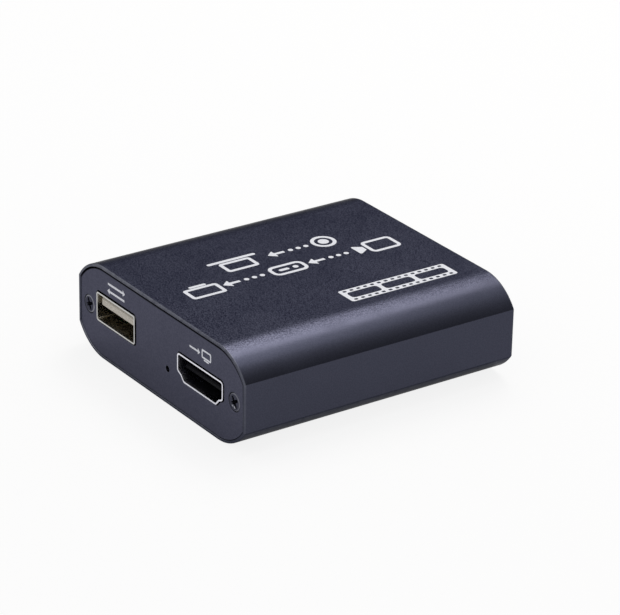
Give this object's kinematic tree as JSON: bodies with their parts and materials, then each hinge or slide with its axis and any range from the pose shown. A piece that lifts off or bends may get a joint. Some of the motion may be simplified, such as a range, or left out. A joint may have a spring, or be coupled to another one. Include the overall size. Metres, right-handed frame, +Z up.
{
  "type": "video capture box",
  "caption": "Palm-sized video capture box: a dark extruded aluminium housing with rounded long edges and inset end plates that hold a data socket, a video output and a video input.",
  "frame": {"origin": "centre of the underside", "axes": "+X to the right seen from the front plate, +Y from the front plate to the rear plate, +Z up"},
  "size_m": [0.055, 0.058, 0.0184],
  "materials": {
    "anodised_aluminium": "dark blue-grey anodised, fine blasted satin",
    "plate_aluminium": "dark blue-grey anodised, fine blasted satin",
    "black_steel": "black oxide",
    "board_laminate": "green lacquered laminate",
    "socket_steel": "bright nickel-plated steel",
    "cream_plastic": "cream moulding",
    "black_plastic": "black moulding",
    "gold_contact": "gold-plated",
    "chip_resin": "black moulded resin",
    "tinned_lead": "tinned",
    "ferrite": "grey ferrite",
    "can_aluminium": "bright can",
    "ceramic_part": "tan ceramic",
    "lamp_plastic": "pale lens plastic"
  },
  "bodies": {
    "root": {"housing_shell": "anodised_aluminium", "front_plate": "plate_aluminium", "rear_plate": "plate_aluminium", "front_screws": "black_steel", "rear_screws": "black_steel", "circuit_board": "board_laminate", "data_socket_shell": "socket_steel", "data_socket_tongue": "cream_plastic", "data_socket_contacts": "gold_contact", "video_out_shell": "socket_steel", "video_out_tongue": "black_plastic", "video_out_contacts": "gold_contact", "video_in_shell": "socket_steel", "video_in_tongue": "black_plastic", "video_in_contacts": "gold_contact", "capture_chip": "chip_resin", "loop_chip": "chip_resin", "memory_chip": "chip_resin", "chip_leads": "tinned_lead", "clock_crystals": "tinned_lead", "voltage_regulators": "chip_resin", "power_inductor": "ferrite", "bulk_capacitors": "can_aluminium", "ceramic_capacitors": "ceramic_part", "chip_resistors": "ferrite", "surge_arrays": "chip_resin", "status_led": "lamp_plastic"}
  },
  "joints": []
}
